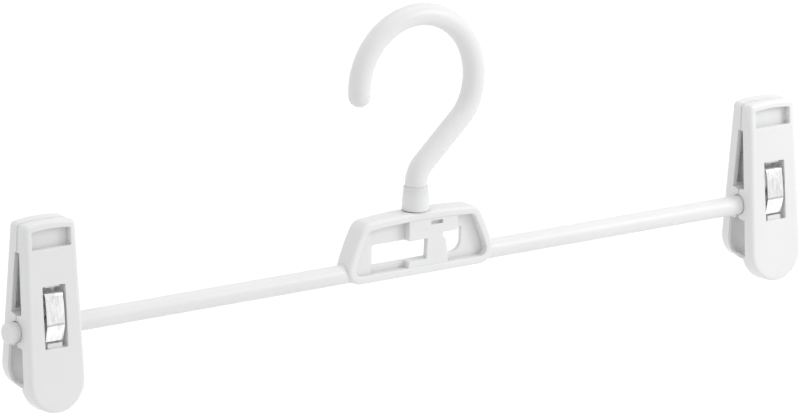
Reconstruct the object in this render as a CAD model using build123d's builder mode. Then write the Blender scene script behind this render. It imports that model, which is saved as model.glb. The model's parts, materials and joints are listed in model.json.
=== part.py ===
from build123d import *
from math import atan2, cos, hypot, pi, radians, sin, tan
import os

os.makedirs("parts", exist_ok=True)

# Skirt hanger: a plastic hook that turns in a moulded frame with a round bar on
# each side, and on each side of the bar a clip of two jaws and a steel band spring.
# The origin is the inside top of the hook, on the axis that the hook turns about.
# X runs along the bar, Y from the front to the back, Z up. Millimetres, degrees.

# Clearances that are used all over the hanger.
running_clearance = 0.3
push_fit_clearance = 0.05
cut_overrun = 2.0

# Hook
hook_rod_diameter = 8.6
hook_bend_radius = 26.7
hook_tip_drop = 1.8
hook_lower_bend_radius = 18.0
hook_lower_bend_angle = 22.0
hook_lean_angle = 47.0
hook_neck_bend_radius = 11.0
hook_neck_straight = 0.52

# Collar, stem and retainer that hold the hook in the frame
collar_wall = 1.1
collar_top_wall_share = 0.45
collar_height = 9.2
collar_chamfer_share = 0.6
collar_socket_depth = 2.6
stem_diameter = 3.6
stem_chamfer = 0.4
retainer_wall = 0.8
retainer_height = 2.2
retainer_chamfer_share = 0.5

# Bar
bar_diameter = 7.6
bar_length = 370.0
bar_stop_step = 0.3
bar_stop_length = 3.4
bar_stop_round = 1.6

# Centre frame
frame_depth = 9.4
frame_rim = 3.2
frame_underside_step = 0.3
frame_above_bar = 19.5
frame_crown = 1.3
frame_bottom_half_width = 35.5
frame_top_half_width = 26.5
frame_side_bow = 1.2
frame_bottom_corner = 6.0
frame_top_corner = 5.5
frame_edge_round = 1.3
frame_inner_edge_round = 0.5
web_thickness = 1.8

# Openings in the web of the frame, and the thicker web to the left of them
opening_sill_above_bar = 1.7
left_opening_reach = 21.0
left_opening_height = 8.1
left_opening_corner = 0.8
right_opening_rise = 1.6
right_sill_length = 4.1
right_opening_round = 4.5
thick_web_step = 1.8
thick_web_thickness = 5.8

# The catch between the openings, its block under the top rim and its foot
catch_left = 2.9
catch_left_slope = 0.4
catch_neck_width = 7.3
catch_shoulder_step = 1.2
catch_shoulder_drop = 1.4
catch_base_step = 1.0
catch_set_back = 0.4
catch_plate_thickness = 1.2
catch_undercut = 2.0
catch_block_left = 5.6
catch_block_step = 4.5
catch_foot_left = 6.2
catch_foot_slope = 0.6
core_slot_start = 4.55
core_slot_length = 5.4
core_slot_height = 1.5
core_slot_depth = 1.8
core_slot_below_rim = 1.05
retainer_seat_below_rim = 1.3

# Clips
clip_to_stop = 1.0
jaw_open_tilt = 5.0
jaw_closing_turn = 10.5
jaw_head_reach = 41.7
jaw_tip_reach = 31.3
rear_jaw_shortening = 5.4
jaw_thickness = 5.2
jaw_head_width = 22.0
jaw_tip_width = 24.2
jaw_head_arch = 1.0
jaw_head_corner = 2.0
jaw_edge_round = 1.6
jaw_head_block_height = 11.4
jaw_ear_above_bar = 6.3
jaw_ear_below_bar = 5.6
jaw_ear_ramp = 0.4
jaw_wall = 1.9
jaw_hollow_depth = 3.2
jaw_tip_wall = 1.3

# Grip at the tip of each jaw: its wall stands higher there
grip_height = 9.6
grip_ramp = 1.2

# Pocket in the head of each jaw
head_pocket_side_wall = 2.5
head_pocket_height = 7.4
head_pocket_depth = 3.0
head_pocket_below_top = 3.0
head_pocket_arch = 0.6
head_pocket_corner = 0.5

# Window for the spring in each jaw
spring_window_width = 10.0
spring_window_above_bar = 17.2
spring_window_below_bar = 6.6
spring_window_corner = 0.5
spring_window_frame = 1.5
spring_seat_width = 6.4
spring_seat_depth = 4.0
spring_seat_top_height = 0.8
spring_seat_bottom_height = 1.8

# Band spring
spring_side_clearance = 1.1
spring_thickness = 0.7
spring_above_window_bottom = 3.4
spring_leg_end_inset = 1.85
spring_crease_above_bar = 3.0
spring_bulge_above_bar = 9.4
spring_bulge = 0.3
spring_below_window_top = 2.35
spring_shoulder_inset = 0.35
spring_dip_flat = 0.8
spring_crease_radius = 1.0
spring_bulge_radius = 30.0
spring_shoulder_radius = 1.3
spring_dip_radius = 1.9

# The hook's centre line: round the bend, which is tighter at its lower end, then
# straight and slanting back to the axis, and down the neck, under which the collar
# and the frame follow.
lean = radians(hook_lean_angle)
hook_centre_z = -(hook_bend_radius - hook_rod_diameter / 2)
lower_bend = radians(hook_lower_bend_angle)
lower_start_x = hook_bend_radius * cos(lower_bend)
lower_start_z = hook_centre_z - hook_bend_radius * sin(lower_bend)
bend_end_x = lower_start_x + hook_lower_bend_radius * (cos(lean) - cos(lower_bend))
bend_end_z = lower_start_z - hook_lower_bend_radius * (sin(lean) - sin(lower_bend))
slant_length = bend_end_x / sin(lean)
neck_corner_z = bend_end_z - slant_length * cos(lean)
neck_tangent = hook_neck_bend_radius * tan(lean / 2)
neck_foot_z = neck_corner_z - neck_tangent
tip_x = -((hook_bend_radius ** 2 - hook_tip_drop ** 2) ** 0.5)
tip_z = hook_centre_z - hook_tip_drop

# Heights and places that follow from the sizes above
collar_top_z = neck_foot_z - hook_neck_straight
collar_bottom_z = collar_top_z - collar_height
hook_shoulder_z = collar_top_z - collar_socket_depth
frame_top_z = collar_bottom_z - running_clearance
bar_z = frame_top_z - frame_crown - frame_above_bar
bar_radius = bar_diameter / 2
bar_half_length = bar_length / 2
bar_stop_x = bar_half_length - bar_stop_length
frame_below_bar = bar_radius + frame_underside_step
retainer_diameter = stem_diameter + 2 * (push_fit_clearance + retainer_wall)
retainer_seat_z = bar_z + frame_above_bar - frame_rim - retainer_seat_below_rim
retainer_top_z = retainer_seat_z - running_clearance
left_opening_top = opening_sill_above_bar + left_opening_height
right_opening_top = left_opening_top + right_opening_rise
catch_neck_right = catch_left + catch_neck_width
catch_shoulder_right = catch_neck_right + catch_shoulder_step
catch_base_right = catch_shoulder_right + catch_base_step
right_sill_end = catch_base_right + right_sill_length
right_opening_end = right_sill_end + right_opening_round
rim_middle_top = frame_above_bar - frame_rim / 2
rim_middle_bottom = -frame_below_bar + frame_rim / 2
clip_x = bar_stop_x - clip_to_stop - jaw_tip_width / 2
jaw_inner = bar_radius + running_clearance
jaw_outer = jaw_inner + jaw_thickness
head_pocket_width = jaw_head_width - 2 * head_pocket_side_wall
meeting_gap = running_clearance / 2

frame_plane = Plane(origin=(0, 0, bar_z), x_dir=(1, 0, 0), z_dir=(0, -1, 0))
bar_axis = Axis((0, 0, bar_z), (1, 0, 0))


# The hook: a round rod bent to three quarters of a circle, then straight and
# slanting back to the axis, and a thinner stem that goes down into the frame.
with BuildPart() as hook:
    with BuildLine(Plane(origin=(0, 0, 0), x_dir=(1, 0, 0), z_dir=(0, -1, 0))) as hook_path:
        bend_top = (0, hook_centre_z + hook_bend_radius)
        ThreePointArc((tip_x, tip_z), bend_top, (lower_start_x, lower_start_z))
        TangentArc(
            (lower_start_x, lower_start_z),
            (bend_end_x, bend_end_z),
            tangent=(-sin(lower_bend), -cos(lower_bend)),
        )
        slant_end = (neck_tangent * sin(lean), neck_corner_z + neck_tangent * cos(lean))
        Line((bend_end_x, bend_end_z), slant_end)
        TangentArc(
            slant_end,
            (0, neck_foot_z),
            tangent=(-sin(lean), -cos(lean)),
        )
        Line((0, neck_foot_z), (0, hook_shoulder_z))
    with BuildSketch(Plane(origin=hook_path.line @ 0, z_dir=hook_path.line % 0)):
        Circle(hook_rod_diameter / 2)
    sweep(path=hook_path.line)
    with Locations((tip_x, 0, tip_z)):
        Sphere(hook_rod_diameter / 2)
    with BuildSketch(Plane.XY.offset(hook_shoulder_z)):
        Circle(stem_diameter / 2)
    extrude(amount=-(hook_shoulder_z - retainer_top_z + retainer_height))
    stem_foot = hook.edges().filter_by(GeomType.CIRCLE).sort_by(Axis.Z)[0]
    chamfer(stem_foot, stem_chamfer)
hook.part.label = "hook"
export_step(hook.part, "parts/hook.step")


# The collar: a sleeve on the stem, under the rod, that narrows towards its top and
# bears on the frame.
collar_socket_radius = hook_rod_diameter / 2 + push_fit_clearance
collar_top_wall = collar_wall * collar_top_wall_share
collar_chamfer = collar_top_wall * collar_chamfer_share
with BuildPart() as hook_collar:
    with BuildSketch(Plane.XZ):
        with BuildLine():
            Polyline(
                (stem_diameter / 2 + push_fit_clearance, collar_bottom_z),
                (collar_socket_radius + collar_wall, collar_bottom_z),
                (collar_socket_radius + collar_top_wall, collar_top_z - collar_chamfer),
                (collar_socket_radius + collar_top_wall - collar_chamfer, collar_top_z),
                (collar_socket_radius, collar_top_z),
                (collar_socket_radius, hook_shoulder_z),
                (stem_diameter / 2 + push_fit_clearance, hook_shoulder_z),
                close=True,
            )
        make_face()
    revolve(axis=Axis.Z)
hook_collar.part.label = "hook_collar"
export_step(hook_collar.part, "parts/hook_collar.step")


# The retainer: a ring on the end of the stem, inside the frame, that carries it.
with BuildPart() as hook_retainer:
    with BuildSketch(Plane.XY.offset(retainer_top_z)):
        Circle(retainer_diameter / 2)
        Circle(stem_diameter / 2 + push_fit_clearance, mode=Mode.SUBTRACT)
    extrude(amount=-retainer_height)
    retainer_rim = hook_retainer.edges().group_by(Axis.Z)[0].sort_by(SortBy.LENGTH)[-1]
    chamfer(retainer_rim, retainer_wall * retainer_chamfer_share)
hook_retainer.part.label = "hook_retainer"
export_step(hook_retainer.part, "parts/hook_retainer.step")


# The outline of the centre frame: narrower at its top, which is a little crowned,
# and with sides that bow outward.
side_middle_x = (frame_top_half_width + frame_bottom_half_width) / 2 + frame_side_bow
side_middle_up = (frame_above_bar - frame_below_bar) / 2
with BuildSketch() as frame_outline:
    with BuildLine():
        ThreePointArc(
            (-frame_top_half_width, frame_above_bar),
            (0, frame_above_bar + frame_crown),
            (frame_top_half_width, frame_above_bar),
        )
        ThreePointArc(
            (frame_top_half_width, frame_above_bar),
            (side_middle_x, side_middle_up),
            (frame_bottom_half_width, -frame_below_bar),
        )
        Line(
            (frame_bottom_half_width, -frame_below_bar),
            (-frame_bottom_half_width, -frame_below_bar),
        )
        ThreePointArc(
            (-frame_bottom_half_width, -frame_below_bar),
            (-side_middle_x, side_middle_up),
            (-frame_top_half_width, frame_above_bar),
        )
    make_face()
    fillet(frame_outline.vertices().group_by(Axis.Y)[-1], frame_top_corner)
    fillet(frame_outline.vertices().group_by(Axis.Y)[0], frame_bottom_corner)

# Each bar starts at the middle of the round of the frame's bottom corner. There
# the bowed side leans less than the line between its ends does.
side_rise = frame_above_bar + frame_below_bar
side_run = frame_bottom_half_width - frame_top_half_width
bow_angle = 2 * atan2(2 * frame_side_bow, hypot(side_rise, side_run))
side_lean = atan2(side_run, side_rise) - bow_angle
half_corner = (pi / 2 - side_lean) / 2
bar_root_x = frame_bottom_half_width - frame_bottom_corner / tan(half_corner)

# The right side of the catch, down from its block over the shoulder to the sill.
catch_right_side = (
    (catch_neck_right, right_opening_top),
    (catch_neck_right, left_opening_top),
    (catch_shoulder_right, left_opening_top - catch_shoulder_drop),
    (catch_base_right, opening_sill_above_bar),
)


# The outline of the catch, with its left side moved by inset to the right.
def catch_outline(inset):
    return (
        *catch_right_side,
        (catch_left - catch_left_slope + inset, opening_sill_above_bar),
        (catch_left + inset, left_opening_top),
        (catch_left + inset, right_opening_top),
    )


# The left opening, which ends at the narrower part of the catch behind its plate.
with BuildSketch() as left_opening:
    with BuildLine():
        Polyline(
            (-left_opening_reach, opening_sill_above_bar),
            (catch_left - catch_left_slope + catch_undercut, opening_sill_above_bar),
            (catch_left + catch_undercut, left_opening_top),
            (-left_opening_reach, left_opening_top),
            close=True,
        )
    make_face()
    fillet(left_opening.vertices().group_by(Axis.X)[0], left_opening_corner)


# The moulded body: the ring of the frame, its web, the catch, and the two bars.
with BuildPart() as hanger_body:
    with BuildSketch(frame_plane):
        add(frame_outline.sketch)
    extrude(amount=frame_depth / 2, both=True)
    fillet(hanger_body.faces().filter_by(Axis.Y).edges(), frame_edge_round)

    # A round bar on each side, from the round corner of the frame to a stop
    stop_radius = bar_radius + bar_stop_step
    for side in (-1, 1):
        with BuildSketch(frame_plane) as bar_profile:
            with BuildLine():
                Polyline(
                    (side * bar_root_x, 0),
                    (side * bar_root_x, bar_radius),
                    (side * bar_stop_x, bar_radius),
                    (side * (bar_stop_x + bar_stop_step), stop_radius),
                    (side * bar_half_length, stop_radius),
                    (side * bar_half_length, 0),
                    close=True,
                )
            make_face()
            stop_corner = bar_profile.vertices().sort_by(Axis.Y)[-2:].sort_by(Axis.X)
            fillet(stop_corner[0 if side < 0 else -1], bar_stop_round)
        revolve(axis=bar_axis)

    # The recess inside the rim, through and through before the web fills its middle
    with BuildSketch(frame_plane):
        add(frame_outline.sketch)
        offset(amount=-frame_rim)
    extrude(amount=frame_depth, both=True, mode=Mode.SUBTRACT)
    rim_faces = hanger_body.faces().filter_by(Axis.Y)
    fillet(
        [edge for face in rim_faces for wire in face.inner_wires() for edge in wire.edges()],
        frame_inner_edge_round,
    )

    # The web in the middle of the frame's depth
    with BuildSketch(frame_plane):
        add(frame_outline.sketch)
        offset(amount=-frame_rim / 2)
        add(left_opening.sketch, mode=Mode.SUBTRACT)
        with BuildLine():
            Polyline(*catch_right_side, (right_sill_end, opening_sill_above_bar))
            RadiusArc(
                (right_sill_end, opening_sill_above_bar),
                (right_opening_end, opening_sill_above_bar + right_opening_round),
                -right_opening_round,
            )
            Polyline(
                (right_opening_end, opening_sill_above_bar + right_opening_round),
                (right_opening_end, right_opening_top),
                (catch_neck_right, right_opening_top),
            )
        make_face(mode=Mode.SUBTRACT)
    extrude(amount=web_thickness / 2, both=True)

    # The thicker web between the left opening and the rim
    with BuildSketch(frame_plane):
        add(frame_outline.sketch)
        offset(amount=-frame_rim / 2)
        with Locations((-left_opening_reach - thick_web_step, 0)):
            Rectangle(
                frame_bottom_half_width,
                2 * frame_bottom_half_width,
                align=(Align.MAX, Align.CENTER),
                mode=Mode.INTERSECT,
            )
    extrude(amount=thick_web_thickness / 2, both=True)

    # The catch: a plate in front, and behind it a narrower core as deep as the web
    catch_front = frame_depth / 2 - catch_set_back
    with BuildSketch(frame_plane.offset(catch_front)):
        with BuildLine():
            Polyline(*catch_outline(0), close=True)
        make_face()
    extrude(amount=-catch_plate_thickness)
    with BuildSketch(frame_plane.offset(-web_thickness / 2)):
        with BuildLine():
            Polyline(*catch_outline(catch_undercut), close=True)
        make_face()
    extrude(amount=web_thickness / 2 + catch_front)

    # Its foot on the bottom rim, as deep as the core
    with BuildSketch(frame_plane.offset(-web_thickness / 2)):
        with BuildLine():
            Polyline(
                (-catch_foot_left, rim_middle_bottom),
                (-catch_foot_left + catch_foot_slope, opening_sill_above_bar),
                (catch_base_right, opening_sill_above_bar),
                (catch_base_right, rim_middle_bottom),
                close=True,
            )
        make_face()
    extrude(amount=web_thickness / 2 + catch_front)

    # Its block under the top rim, which holds the stem, with a slot in its face
    with BuildSketch(frame_plane):
        with BuildLine():
            Polyline(
                (-catch_block_left, left_opening_top),
                (-catch_block_left, rim_middle_top),
                (catch_base_right + catch_block_step, rim_middle_top),
                (catch_base_right + catch_block_step, right_opening_top),
                (catch_neck_right, right_opening_top),
                (catch_neck_right, left_opening_top),
                close=True,
            )
        make_face()
    extrude(amount=catch_front, both=True)
    with BuildSketch(frame_plane.offset(frame_depth / 2)):
        slot_top = frame_above_bar + frame_crown - frame_rim - core_slot_below_rim
        with Locations((core_slot_start, slot_top)):
            Rectangle(core_slot_length, core_slot_height, align=(Align.MIN, Align.MAX))
    extrude(amount=-core_slot_depth, mode=Mode.SUBTRACT)

    # The bore for stem and retainer, from the left opening up through the rim
    with BuildSketch(Plane.XY.offset(retainer_seat_z)):
        Circle(retainer_diameter / 2 + running_clearance)
    extrude(
        amount=-(retainer_seat_z - bar_z - left_opening_top + cut_overrun),
        mode=Mode.SUBTRACT,
    )
    with BuildSketch(Plane.XY.offset(retainer_seat_z)):
        Circle(stem_diameter / 2 + running_clearance)
    extrude(amount=frame_top_z - retainer_seat_z + cut_overrun, mode=Mode.SUBTRACT)

hanger_body.part.label = "hanger_body"
export_step(hanger_body.part, "parts/hanger_body.step")


# A jaw of a clip is drawn as the front one, in its open rest pose. A point of it
# is given along the jaw from the bar's axis, and out from that axis to the front.
open_tilt = radians(jaw_open_tilt)
closing_turn = radians(jaw_closing_turn)


def on_open_jaw(along, out):
    back = along * sin(open_tilt) - out * cos(open_tilt)
    up = along * cos(open_tilt) + out * sin(open_tilt)
    return (back, up)


# A point above the bar where the two jaws meet in the open pose.
def on_open_face(up):
    return (-meeting_gap, up)


# A point below the bar where the two jaws meet when they are closed, turned back
# to the open pose. Inset is how far it lies inside the jaw.
def on_closed_face(drop, inset=0.0):
    back = -(meeting_gap + inset)
    return (
        back * cos(closing_turn) - drop * sin(closing_turn),
        -drop * cos(closing_turn) - back * sin(closing_turn),
    )


# The side view of a jaw: a flat slab with a block at its head, an ear around the
# bar and a grip at its tip. Ear, block and grip end at the faces where jaws meet.
head_block_bottom = jaw_head_reach - jaw_head_block_height
grip_top = jaw_tip_reach - grip_height
tip_end = jaw_tip_reach + cut_overrun
jaw_side = (
    on_open_jaw(jaw_head_reach, jaw_outer),
    on_open_face(jaw_head_reach),
    on_open_face(head_block_bottom),
    on_open_jaw(head_block_bottom, jaw_inner),
    on_open_jaw(jaw_ear_above_bar + jaw_ear_ramp, jaw_inner),
    on_open_face(jaw_ear_above_bar),
    on_open_face(0),
    on_closed_face(jaw_ear_below_bar),
    on_open_jaw(-(jaw_ear_below_bar + jaw_ear_ramp), jaw_inner),
    on_open_jaw(-(grip_top - grip_ramp), jaw_inner),
    on_closed_face(grip_top),
    on_closed_face(tip_end),
    on_open_jaw(-tip_end, jaw_outer),
)



# The front view of a jaw: arched at the head, wider downwards, round at the tip.
def make_jaw_outline(tip_reach):
    head_corner_up = jaw_head_reach - jaw_head_arch
    tip_round_up = jaw_tip_width / 2 - tip_reach
    with BuildSketch() as outline:
        with BuildLine():
            ThreePointArc(
                (-jaw_head_width / 2, head_corner_up),
                (0, jaw_head_reach),
                (jaw_head_width / 2, head_corner_up),
            )
            Line((jaw_head_width / 2, head_corner_up), (jaw_tip_width / 2, tip_round_up))
            ThreePointArc(
                (jaw_tip_width / 2, tip_round_up),
                (0, -tip_reach),
                (-jaw_tip_width / 2, tip_round_up),
            )
            Line((-jaw_tip_width / 2, tip_round_up), (-jaw_head_width / 2, head_corner_up))
        make_face()
        fillet(outline.vertices().group_by(Axis.Y)[-1], jaw_head_corner)
    return outline.sketch


# The pocket in the head, with an arched top edge.
pocket_top = jaw_head_reach - head_pocket_below_top
pocket_corner_up = pocket_top - head_pocket_arch
pocket_bottom = pocket_top - head_pocket_height
with BuildSketch() as head_pocket:
    with BuildLine():
        ThreePointArc(
            (-head_pocket_width / 2, pocket_corner_up),
            (0, pocket_top),
            (head_pocket_width / 2, pocket_corner_up),
        )
        Polyline(
            (head_pocket_width / 2, pocket_corner_up),
            (head_pocket_width / 2, pocket_bottom),
            (-head_pocket_width / 2, pocket_bottom),
            (-head_pocket_width / 2, pocket_corner_up),
        )
    make_face()
    fillet(head_pocket.vertices(), head_pocket_corner)

# The heights between which a jaw is hollow, above the bar and below it.
upper_hollow_bottom = jaw_ear_above_bar + jaw_ear_ramp + jaw_wall / 2
upper_hollow_top = head_block_bottom - jaw_wall
lower_hollow_top = -(jaw_ear_below_bar + jaw_ear_ramp + jaw_wall / 2)


# A jaw that stands in front of the bar, with its tip at the given reach below it.
def make_jaw(centre_x, tip_reach):
    side_plane = Plane(origin=(centre_x, 0, bar_z), x_dir=(0, 1, 0), z_dir=(1, 0, 0))
    outward = (0, -cos(open_tilt), sin(open_tilt))
    face_plane = Plane(origin=(centre_x, 0, bar_z), x_dir=(1, 0, 0), z_dir=outward)
    window_middle = (spring_window_above_bar - spring_window_below_bar) / 2
    jaw_outline = make_jaw_outline(tip_reach)
    with BuildPart() as jaw:
        with BuildSketch(face_plane.offset(jaw_outer)):
            add(jaw_outline)
        extrude(amount=-2 * jaw_outer)
        outer_face = jaw.faces().sort_by(Axis((centre_x, 0, bar_z), outward))[-1]
        fillet(outer_face.edges(), jaw_edge_round)
        with BuildSketch(side_plane):
            with BuildLine():
                Polyline(*jaw_side, close=True)
            make_face()
        extrude(amount=jaw_tip_width, both=True, mode=Mode.INTERSECT)

        # Hollows inside a wall that follows the outline, around the window's frame
        with BuildSketch(face_plane.offset(jaw_inner)):
            add(jaw_outline)
            offset(amount=-jaw_wall)
            with Locations((0, upper_hollow_bottom)):
                Rectangle(
                    jaw_tip_width,
                    upper_hollow_top - upper_hollow_bottom,
                    align=(Align.CENTER, Align.MIN),
                    mode=Mode.INTERSECT,
                )
                Rectangle(
                    spring_window_width + 2 * spring_window_frame,
                    spring_window_above_bar + spring_window_frame - upper_hollow_bottom,
                    align=(Align.CENTER, Align.MIN),
                    mode=Mode.SUBTRACT,
                )
        extrude(amount=jaw_hollow_depth, mode=Mode.SUBTRACT)
        with BuildSketch(face_plane.offset(jaw_inner + jaw_hollow_depth)):
            add(jaw_outline)
            offset(amount=-jaw_tip_wall)
            with Locations((0, lower_hollow_top)):
                Rectangle(
                    jaw_tip_width,
                    jaw_tip_reach + lower_hollow_top,
                    align=(Align.CENTER, Align.MAX),
                    mode=Mode.INTERSECT,
                )
        extrude(amount=-2 * jaw_outer, mode=Mode.SUBTRACT)

        # The groove for the bar, the pocket in the head and the spring's window
        with BuildSketch(side_plane):
            Circle(bar_radius + running_clearance)
        extrude(amount=jaw_tip_width, both=True, mode=Mode.SUBTRACT)
        with BuildSketch(face_plane.offset(jaw_outer)):
            add(head_pocket.sketch)
        extrude(amount=-head_pocket_depth, mode=Mode.SUBTRACT)
        with BuildSketch(face_plane.offset(jaw_outer)):
            with Locations((0, window_middle)):
                RectangleRounded(
                    spring_window_width,
                    spring_window_above_bar + spring_window_below_bar,
                    spring_window_corner,
                )
        extrude(amount=-2 * jaw_outer, mode=Mode.SUBTRACT)

        # Seats for the spring at the inner top and bottom of the window
        with BuildSketch(face_plane.offset(jaw_inner)):
            with Locations((0, spring_window_above_bar + spring_window_frame)):
                Rectangle(
                    spring_seat_width,
                    spring_seat_top_height + spring_window_frame,
                    align=(Align.CENTER, Align.MAX),
                )
            with Locations((0, -spring_window_below_bar - spring_window_frame)):
                Rectangle(
                    spring_seat_width,
                    spring_seat_bottom_height + spring_window_frame,
                    align=(Align.CENTER, Align.MIN),
                )
        extrude(amount=spring_seat_depth)
    return jaw.part


# The band spring: a steel strip bent like an M. Its two legs press on the jaws
# through their windows, and its middle dips down onto the bar.
def inside_face(up, inset):
    outer_face_back = (up * sin(open_tilt) - jaw_outer) / cos(open_tilt)
    return (outer_face_back + inset, up)


half_strip = spring_thickness / 2
dip_up = bar_radius + running_clearance + half_strip
dip_half_width = spring_dip_radius + spring_dip_flat / 2
shoulder_up = spring_window_above_bar - spring_below_window_top
leg_end_up = spring_above_window_bottom - spring_window_below_bar
leg_end = inside_face(leg_end_up, spring_leg_end_inset)
leg_crease = inside_face(spring_crease_above_bar, 0)
leg_bulge = inside_face(spring_bulge_above_bar, half_strip - spring_bulge)
shoulder = inside_face(shoulder_up, spring_shoulder_inset + half_strip)
front_half = (
    leg_end,
    leg_crease,
    leg_bulge,
    shoulder,
    (-dip_half_width, shoulder_up),
    (-dip_half_width, dip_up),
)
rear_half = tuple((-back, up) for back, up in reversed(front_half))
half_radii = (
    spring_crease_radius,
    spring_bulge_radius,
    spring_shoulder_radius,
    spring_shoulder_radius,
    spring_dip_radius,
)


def make_band_spring(centre_x):
    side_plane = Plane(origin=(centre_x, 0, bar_z), x_dir=(0, 1, 0), z_dir=(1, 0, 0))
    with BuildPart() as spring:
        with BuildLine(side_plane) as strip:
            FilletPolyline(*front_half, *rear_half, radius=(*half_radii, *half_radii[::-1]))
        start = Plane(origin=strip.line @ 0, x_dir=(1, 0, 0), z_dir=strip.line % 0)
        with BuildSketch(start):
            Rectangle(
                spring_window_width - 2 * spring_side_clearance,
                spring_thickness,
            )
        sweep(path=strip.line)
    return spring.part


# One clip at each end of the bar: two jaws around their spring. The rear jaw is a
# shorter front jaw mirrored to the back.
for clip_name, side in (("left", -1), ("right", 1)):
    with BuildPart() as front_jaw:
        add(make_jaw(side * clip_x, jaw_tip_reach))
    front_jaw.part.label = f"{clip_name}_front_jaw"
    export_step(front_jaw.part, f"parts/{clip_name}_front_jaw.step")

    short_jaw = make_jaw(side * clip_x, jaw_tip_reach - rear_jaw_shortening)
    with BuildPart() as rear_jaw:
        mirror(short_jaw, about=Plane.XZ)
    rear_jaw.part.label = f"{clip_name}_rear_jaw"
    export_step(rear_jaw.part, f"parts/{clip_name}_rear_jaw.step")

    with BuildPart() as band_spring:
        add(make_band_spring(side * clip_x))
    band_spring.part.label = f"{clip_name}_band_spring"
    export_step(band_spring.part, f"parts/{clip_name}_band_spring.step")
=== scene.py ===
# %% [markdown]
# # A skirt hanger
# This lesson dresses a white plastic skirt hanger: a turning hook, a small
# frame under it, a thin round bar, and two clips with a bright band spring.
# The hard shapes come from a imported CAD model, which loads as a fixed frame.
# Blender adds the finishes, the springs, the light and the camera.
# Every length is in metres, and the object is only 0.37 m wide.

# %% Load the frame
import json
import math

import bmesh
import bpy
import numpy as np
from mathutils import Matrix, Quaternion, Vector


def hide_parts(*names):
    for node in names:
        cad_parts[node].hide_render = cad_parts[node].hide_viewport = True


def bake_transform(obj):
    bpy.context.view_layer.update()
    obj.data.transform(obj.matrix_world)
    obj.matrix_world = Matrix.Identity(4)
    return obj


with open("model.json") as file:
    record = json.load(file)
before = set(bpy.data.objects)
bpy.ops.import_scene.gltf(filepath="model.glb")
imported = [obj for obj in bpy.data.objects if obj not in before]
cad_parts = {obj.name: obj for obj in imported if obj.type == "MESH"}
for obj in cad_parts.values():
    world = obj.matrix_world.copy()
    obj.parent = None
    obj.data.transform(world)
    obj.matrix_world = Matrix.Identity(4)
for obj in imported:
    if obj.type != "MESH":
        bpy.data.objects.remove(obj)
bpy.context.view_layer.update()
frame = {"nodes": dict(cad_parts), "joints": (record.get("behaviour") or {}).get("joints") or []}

nodes = frame["nodes"]
joint_of = {joint["name"]: joint for joint in frame["joints"]}
millimetre = 0.001
print("pieces in the frame:", sorted(nodes))

# %% [markdown]
# ## The camera
# The photograph was taken from far away with a long lens: the clip that is
# nearer looks only a little larger than the far one. The view comes from the
# left of the front and from a little above. A camera is set up by the point it
# looks at, two angles and a distance, which is easier to check than a matrix.
# The lens follows from how large the hanger is in the picture. The camera was
# held a little askew, by about half a degree, which is added as a roll.

# %% Camera
picture_width = 800
sensor_width = 36.0
focal_in_pixels = 6727
camera_distance = 2.580
camera_yaw = math.radians(35)
camera_pitch = math.radians(15)
camera_roll = 0.0100
aim = Vector((-0.00716, 0.00020, -0.07084))

toward = Vector((
    math.sin(camera_yaw) * math.cos(camera_pitch),
    math.cos(camera_yaw) * math.cos(camera_pitch),
    -math.sin(camera_pitch),
))
camera = bpy.data.objects.new("camera", bpy.data.cameras.new("camera"))
bpy.context.scene.collection.objects.link(camera)
camera.location = aim - toward * camera_distance
camera.rotation_mode = "QUATERNION"
level = toward.to_track_quat("-Z", "Y")
camera.rotation_quaternion = level @ Quaternion((0, 0, 1), camera_roll)
camera.data.sensor_width = sensor_width
camera.data.lens = focal_in_pixels / picture_width * sensor_width
camera.data.clip_start = 0.05
camera.data.clip_end = 200
bpy.context.scene.camera = camera
print("camera at", [round(v, 3) for v in camera.location], "lens", round(camera.data.lens, 1))

# %% [markdown]
# ## A helper for finishes
# A finish is a small network of nodes. Writing it in code is long-winded, so
# one helper makes a node and fills its inputs: a plain value is set on the
# socket, and the output of another node is linked to it.

# %% Node helper
def add_node(tree, kind, inputs=None, **settings):
    node = tree.nodes.new(kind)
    for key, value in settings.items():
        setattr(node, key, value)
    for key, value in (inputs or {}).items():
        if isinstance(value, bpy.types.NodeSocket):
            tree.links.new(value, node.inputs[key])
        else:
            node.inputs[key].default_value = value
    return node


def start_material(name):
    material = bpy.data.materials.new(name)
    material.use_nodes = True
    material.node_tree.nodes.clear()
    return material, material.node_tree


print("helpers:", add_node.__name__, "and", start_material.__name__)

# %% [markdown]
# ## White moulded plastic
# The hanger is injection-moulded. Such plastic is never one flat white: its
# tone drifts a little over a few centimetres, the skin has a very fine orange
# peel from the mould, and hands leave it glossier in some places. All of that
# is noise at different sizes. The edges that a mould leaves are soft, so a
# bevel node rounds their shading by a fraction of a millimetre. Creases and
# hollows get painted shade: the ambient occlusion node finds them, and their
# colour is darkened towards grey. Some light passes under the skin, so the
# hollows do not go quite dark. The frame and the hook also carry the faint
# ridge of the mould's parting line, along the middle plane.

# %% White plastic
light_white = (0.83, 0.832, 0.835)
body_deep_white = (0.795, 0.797, 0.80)
clip_deep_white = (0.80, 0.802, 0.805)
# Painted shade: a grey mixed into the plastic's colour where ambient occlusion finds creases and
# hollows.
crease_shade_tone = (0.46, 0.455, 0.45)
crease_shade_reach = 2.8 * millimetre
most_crease_shade = 0.22
drift_per_metre = 45
handling_per_metre = 130
peel_per_metre = 1400
light_depth = 2.0 * millimetre


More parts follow.
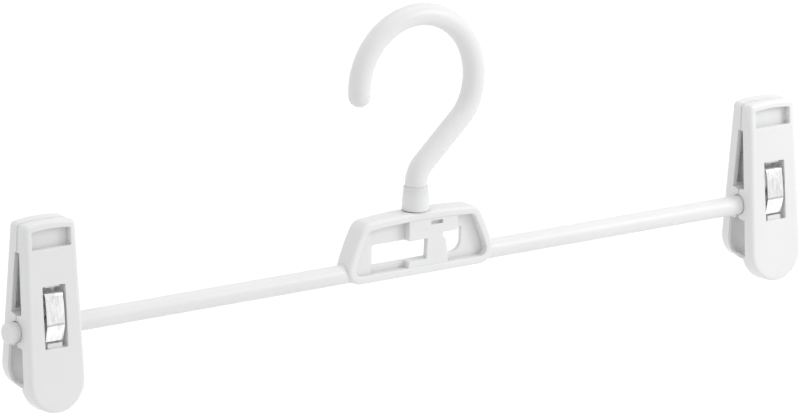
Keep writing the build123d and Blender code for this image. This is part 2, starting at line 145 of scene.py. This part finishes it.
def moulded_white(name, light_tone, deep_tone, roughness_range, seam_along_y):
    material, tree = start_material(name)
    place = add_node(tree, "ShaderNodeTexCoord").outputs["Object"]

    drift = add_node(tree, "ShaderNodeTexNoise",
                     {"Vector": place, "Scale": drift_per_metre, "Detail": 2, "Roughness": 0.5})
    tone = add_node(tree, "ShaderNodeMix",
                    {"Factor": drift.outputs["Fac"], "A": (*deep_tone, 1), "B": (*light_tone, 1)},
                    data_type="RGBA")
    # Painted shade: ambient occlusion picks out creases and hollows, and the colour there is
    # darkened towards grey.
    painted_shade_mask = add_node(tree, "ShaderNodeAmbientOcclusion", {"Distance": crease_shade_reach}, samples=8)
    painted_shade_amount = add_node(tree, "ShaderNodeMapRange",
                    {"Value": painted_shade_mask.outputs["AO"], "From Min": 0.30, "From Max": 0.95,
                     "To Min": most_crease_shade, "To Max": 0.0})
    shade_painted_tone = add_node(tree, "ShaderNodeMix",
                     {"Factor": painted_shade_amount.outputs["Result"], "A": tone.outputs["Result"],
                      "B": (*crease_shade_tone, 1)},
                     data_type="RGBA")

    handled = add_node(tree, "ShaderNodeTexNoise",
                       {"Vector": place, "Scale": handling_per_metre, "Detail": 4,
                        "Roughness": 0.6})
    roughness = add_node(tree, "ShaderNodeMapRange",
                         {"Value": handled.outputs["Fac"], "From Min": 0.3, "From Max": 0.7,
                          "To Min": roughness_range[0], "To Max": roughness_range[1]})

    peel = add_node(tree, "ShaderNodeTexNoise",
                    {"Vector": place, "Scale": peel_per_metre, "Detail": 3,
                     "Roughness": 0.55})
    soft_edge = add_node(tree, "ShaderNodeBevel", {"Radius": 0.25 * millimetre}, samples=6)
    grain = add_node(tree, "ShaderNodeBump",
                     {"Strength": 0.25, "Distance": 0.02 * millimetre,
                      "Height": peel.outputs["Fac"], "Normal": soft_edge.outputs["Normal"]})
    relief = grain
    if seam_along_y:
        axis = add_node(tree, "ShaderNodeSeparateXYZ", {"Vector": place})
        away = add_node(tree, "ShaderNodeMath", {0: axis.outputs["Y"]}, operation="ABSOLUTE")
        ridge = add_node(tree, "ShaderNodeMapRange",
                         {"Value": away.outputs["Value"], "From Min": 0.02 * millimetre,
                          "From Max": 0.16 * millimetre, "To Min": 1.0, "To Max": 0.0})
        relief = add_node(tree, "ShaderNodeBump",
                          {"Strength": 0.35, "Distance": 0.05 * millimetre,
                           "Height": ridge.outputs["Result"],
                           "Normal": grain.outputs["Normal"]})

    surface = add_node(tree, "ShaderNodeBsdfPrincipled",
                       {"Base Color": shade_painted_tone.outputs["Result"],
                        "Roughness": roughness.outputs["Result"],
                        "IOR": 1.5, "Normal": relief.outputs["Normal"]})
    surface.inputs["Subsurface Weight"].default_value = 0.40
    surface.inputs["Subsurface Scale"].default_value = light_depth
    surface.inputs["Subsurface Radius"].default_value = (1.0, 0.9, 0.8)
    add_node(tree, "ShaderNodeOutputMaterial", {"Surface": surface.outputs["BSDF"]})
    return material


frame_white = moulded_white("frame_white_plastic", light_white, body_deep_white,
                            (0.34, 0.46), True)
hook_white = moulded_white("hook_white_plastic", light_white, body_deep_white,
                           (0.30, 0.42), True)
clip_white = moulded_white("clip_white_plastic", light_white, clip_deep_white,
                           (0.28, 0.38), False)
for name, finish in (
    ("hanger_body", frame_white), ("hook", hook_white), ("hook_collar", hook_white),
    ("hook_retainer", hook_white), ("left_front_jaw", clip_white), ("left_rear_jaw", clip_white),
    ("right_front_jaw", clip_white), ("right_rear_jaw", clip_white),
):
    nodes[name].data.materials.clear()
    nodes[name].data.materials.append(finish)
print("white plastic on", len([n for n in nodes if "spring" not in n]), "pieces")

# %% [markdown]
# ## Spring steel
# The clip is held by a bent strip of bright steel. Rolling leaves very fine
# lines along the strip, so the noise is squeezed across it: it changes fast
# over the width and slowly along the length. The same lines drive the gloss
# and a shallow bump. The steel has no colour of its own to speak of, only a
# fine mottling. A thin dark line of painted shade is drawn across the leg at
# its crease, a little above the bar's axis.

# %% Steel
dull_steel = (0.68, 0.68, 0.68)
clean_steel = (0.87, 0.87, 0.87)
# Painted shade: the dark tone drawn as a thin line across the leg at its crease.
crease_shade_steel = (0.30, 0.30, 0.30)
line_per_metre = 5200
mottle_per_metre = 900
crease_above_bar = 3.15 * millimetre


def rolled_steel(name, crease_height):
    material, tree = start_material(name)
    place = add_node(tree, "ShaderNodeTexCoord").outputs["Object"]
    squeeze = add_node(tree, "ShaderNodeMapping", {"Vector": place, "Scale": (1.0, 0.02, 0.02)})
    lines = add_node(tree, "ShaderNodeTexNoise",
                     {"Vector": squeeze.outputs["Vector"], "Scale": line_per_metre,
                      "Detail": 3, "Roughness": 0.6})
    stretch = add_node(tree, "ShaderNodeMapping", {"Vector": place, "Scale": (1.0, 0.3, 0.3)})
    cloud = add_node(tree, "ShaderNodeTexNoise",
                     {"Vector": stretch.outputs["Vector"], "Scale": mottle_per_metre,
                      "Detail": 4, "Roughness": 0.6})
    patch = add_node(tree, "ShaderNodeMapRange",
                     {"Value": cloud.outputs["Fac"], "From Min": 0.35, "From Max": 0.62})
    tone = add_node(tree, "ShaderNodeMix",
                    {"Factor": patch.outputs["Result"], "A": (*dull_steel, 1),
                     "B": (*clean_steel, 1)},
                    data_type="RGBA")
    axis = add_node(tree, "ShaderNodeSeparateXYZ", {"Vector": place})
    above = add_node(tree, "ShaderNodeMath", {0: axis.outputs["Z"], 1: crease_height},
                     operation="SUBTRACT")
    away = add_node(tree, "ShaderNodeMath", {0: above.outputs["Value"]}, operation="ABSOLUTE")
    # Painted shade: a thin dark line across the leg at the crease height.
    painted_shade_mask = add_node(tree, "ShaderNodeMapRange",
                      {"Value": away.outputs["Value"], "From Min": 0.10 * millimetre,
                       "From Max": 0.60 * millimetre, "To Min": 0.65, "To Max": 0.0})
    crease_shaded_steel = add_node(tree, "ShaderNodeMix",
                       {"Factor": painted_shade_mask.outputs["Result"], "A": tone.outputs["Result"],
                        "B": (*crease_shade_steel, 1)},
                       data_type="RGBA")
    gloss = add_node(tree, "ShaderNodeMapRange",
                     {"Value": lines.outputs["Fac"], "From Min": 0.3, "From Max": 0.7,
                      "To Min": 0.16, "To Max": 0.30})
    soft_edge = add_node(tree, "ShaderNodeBevel", {"Radius": 0.1 * millimetre}, samples=4)
    scored = add_node(tree, "ShaderNodeBump",
                      {"Strength": 0.3, "Distance": 0.01 * millimetre,
                       "Height": lines.outputs["Fac"], "Normal": soft_edge.outputs["Normal"]})
    surface = add_node(tree, "ShaderNodeBsdfPrincipled",
                       {"Base Color": crease_shaded_steel.outputs["Result"], "Metallic": 1.0,
                        "Roughness": gloss.outputs["Result"],
                        "Normal": scored.outputs["Normal"]})
    add_node(tree, "ShaderNodeOutputMaterial", {"Surface": surface.outputs["BSDF"]})
    return material


bar_height = joint_of["left_front_jaw_close"]["pos_m"][2]
bright_steel = rolled_steel("bright_rolled_steel", bar_height + crease_above_bar)
print("steel finish:", bright_steel.name)

# %% [markdown]
# ## The band springs
# Each strip is bent like the letter M: two legs stand in the windows of the
# jaws, and the middle dips down onto the bar. It could be one solid, but the
# real strip flexes when the clip snaps shut. So each spring is made as two
# halves that meet in the dip, one for each jaw. A half is a flat section that
# is carried along a bent line, with round bends where the line has corners.

# %% A strip along a bent line
smallest_radius = 0.4 * millimetre
corner_points = 4
sharp_edge = math.radians(40)


def rounded_line(corners, radii, step):
    points = [Vector(corners[0])]
    for before, corner, after, radius in zip(corners, corners[1:], corners[2:], radii):
        corner = Vector(corner)
        into = (Vector(before) - corner).normalized()
        out_of = (Vector(after) - corner).normalized()
        half = into.angle(out_of) / 2
        middle = corner + (into + out_of).normalized() * radius / math.sin(half)
        start = corner + into * radius / math.tan(half)
        end = corner + out_of * radius / math.tan(half)
        turn = (start - middle).angle_signed(end - middle)
        count = max(2, math.ceil(abs(turn) * max(radius, smallest_radius) / step))
        for i in range(count + 1):
            share = turn * i / count
            arm = start - middle
            points.append(middle + Vector((
                arm.x * math.cos(share) + arm.y * math.sin(share),
                arm.y * math.cos(share) - arm.x * math.sin(share),
            )))
    points.append(Vector(corners[-1]))
    return points


def strip_mesh(name, line, width, thickness, edge_round):
    section = []
    for sign_x, sign_t, start in ((1, 1, 0), (-1, 1, 1), (-1, -1, 2), (1, -1, 3)):
        for i in range(corner_points):
            angle = (start + i / (corner_points - 1)) * math.pi / 2
            section.append((
                sign_x * (width / 2 - edge_round) + edge_round * math.cos(angle),
                sign_t * (thickness / 2 - edge_round) + edge_round * math.sin(angle),
            ))
    mesh = bmesh.new()
    rings = []
    for i, point in enumerate(line):
        along = line[min(i + 1, len(line) - 1)] - line[max(i - 1, 0)]
        side = Vector((-along.y, along.x)).normalized()
        rings.append([
            mesh.verts.new((x, point.x + side.x * t, point.y + side.y * t)) for x, t in section
        ])
    for ring, after in zip(rings, rings[1:]):
        for i in range(len(ring)):
            j = (i + 1) % len(ring)
            mesh.faces.new((ring[i], ring[j], after[j], after[i]))
    mesh.faces.new(reversed(rings[0]))
    mesh.faces.new(rings[-1])
    bmesh.ops.recalc_face_normals(mesh, faces=mesh.faces)
    for face in mesh.faces:
        face.smooth = True
    data = bpy.data.meshes.new(name)
    mesh.to_mesh(data)
    mesh.free()
    data.set_sharp_from_angle(angle=sharp_edge)
    made = bpy.data.objects.new(name, data)
    bpy.context.scene.collection.objects.link(made)
    return made


print("a strip is swept from a section of", 4 * corner_points, "points")

# %% [markdown]
# The corners of the line are given to the front and up from the bar's axis,
# as the CAD model has them, so the strip fills the same space. The dip starts
# on the middle plane and the leg ends in the window.

# %% Both springs
spring_width = 7.8 * millimetre
spring_thickness = 0.7 * millimetre
spring_edge_round = 0.14 * millimetre
line_step = 0.2 * millimetre
leg_line = (
    (0.0, 4.45), (-2.3, 4.45), (-2.3, 14.85), (-7.34, 14.85),
    (-8.46, 9.4), (-9.07, 3.0), (-7.77, -3.2),
)
leg_radii = (1.9, 1.3, 1.3, 30.0, 1.0)

for clip in ("left", "right"):
    clip_axis = Vector(joint_of[clip + "_front_jaw_close"]["pos_m"])
    for jaw, toward_y in (("front", 1), ("rear", -1)):
        corners = [(y * toward_y * millimetre, z * millimetre) for y, z in leg_line]
        line = rounded_line(corners, [r * millimetre for r in leg_radii], line_step)
        piece = strip_mesh(clip + "_spring_" + jaw + "_half", line, spring_width,
                           spring_thickness, spring_edge_round)
        for vertex in piece.data.vertices:
            vertex.co += clip_axis
        piece.data.materials.append(bright_steel)
        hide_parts(clip + "_band_spring")
        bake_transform(piece)
        print(piece.name, "has", len(piece.data.vertices), "points")

# %% [markdown]
# ## Floor, background and light
# The photograph shows the hanger on plain white, with nothing under it. The
# floor lies well below, as under a hanger on its rail, so its soft shadow
# stays out of the picture. The floor reflects like white paper, and for the
# camera and for mirrors it also glows a little, so that it reaches pure white
# without more light on the hanger. The world does the same for the sky.

# %% Floor and world
def white_for_eyes(tree):
    path = add_node(tree, "ShaderNodeLightPath")
    seen = add_node(tree, "ShaderNodeMath",
                    {0: path.outputs["Is Camera Ray"], 1: path.outputs["Is Glossy Ray"]},
                    operation="MAXIMUM")
    seen = add_node(tree, "ShaderNodeMath",
                    {0: seen.outputs["Value"], 1: path.outputs["Is Transmission Ray"]},
                    operation="MAXIMUM")
    return seen.outputs["Value"]


floor_height = -0.36
floor_half = 40.0
paper_tone = (0.86, 0.86, 0.86)
paper_glow_tone = (0.35, 0.35, 0.35)
floor_mesh = bpy.data.meshes.new("floor")
floor_mesh.from_pydata(
    [(x * floor_half, y * floor_half, floor_height)
     for x, y in ((-1, -1), (1, -1), (1, 1), (-1, 1))],
    [], [(0, 1, 2, 3)])
floor = bpy.data.objects.new("floor", floor_mesh)
bpy.context.scene.collection.objects.link(floor)
paper, paper_tree = start_material("white_paper_floor")
paper_skin = add_node(paper_tree, "ShaderNodeBsdfDiffuse", {"Color": (*paper_tone, 1)})
paper_glow = add_node(paper_tree, "ShaderNodeEmission", {"Strength": white_for_eyes(paper_tree)})
paper_glow.inputs["Color"].default_value = (*paper_glow_tone, 1)
paper_sum = add_node(paper_tree, "ShaderNodeAddShader")
paper_tree.links.new(paper_skin.outputs["BSDF"], paper_sum.inputs[0])
paper_tree.links.new(paper_glow.outputs["Emission"], paper_sum.inputs[1])
add_node(paper_tree, "ShaderNodeOutputMaterial", {"Surface": paper_sum.outputs["Shader"]})
floor.data.materials.append(paper)

world = bpy.data.worlds.new("studio")
bpy.context.scene.world = world
world.use_nodes = True
sky = world.node_tree
sky.nodes.clear()
room_light = 0.82
strength = add_node(sky, "ShaderNodeMapRange",
                    {"Value": white_for_eyes(sky), "To Min": room_light, "To Max": 1.0})
background = add_node(sky, "ShaderNodeBackground", {"Strength": strength.outputs["Result"]})
background.inputs["Color"].default_value = (1, 1, 1, 1)
add_node(sky, "ShaderNodeOutputWorld", {"Surface": background.outputs["Background"]})
print("floor at", floor_height, "room light", room_light)

# %% [markdown]
# ## The lamps
# Most of the light comes from the bright room, so the faces that look left are
# nearly as light as the fronts. A soft lamp near the right end, in front and
# above, makes the right clip brighter than the left one, as in the photograph.
# A second one from above lights the top of the bar and of the hook.

# %% Lamps
def soft_lamp(name, place, look_at, size, watts):
    lamp = bpy.data.objects.new(name, bpy.data.lights.new(name, "AREA"))
    bpy.context.scene.collection.objects.link(lamp)
    lamp.data.shape = "DISK"
    lamp.data.size = size
    lamp.data.energy = watts
    lamp.location = place
    direction = Vector(look_at) - Vector(place)
    lamp.rotation_mode = "QUATERNION"
    lamp.rotation_quaternion = direction.to_track_quat("-Z", "Y")
    return lamp


key_lamp = soft_lamp("key_lamp", (0.60, -0.55, 0.30), (0.12, 0, -0.09), 0.40, 2.2)
top_lamp = soft_lamp("top_lamp", (0.25, 0.10, 1.1), (0.0, 0, -0.08), 0.9, 1.8)
bpy.context.scene.view_settings.view_transform = "Standard"
print("lamps:", key_lamp.name, top_lamp.name)
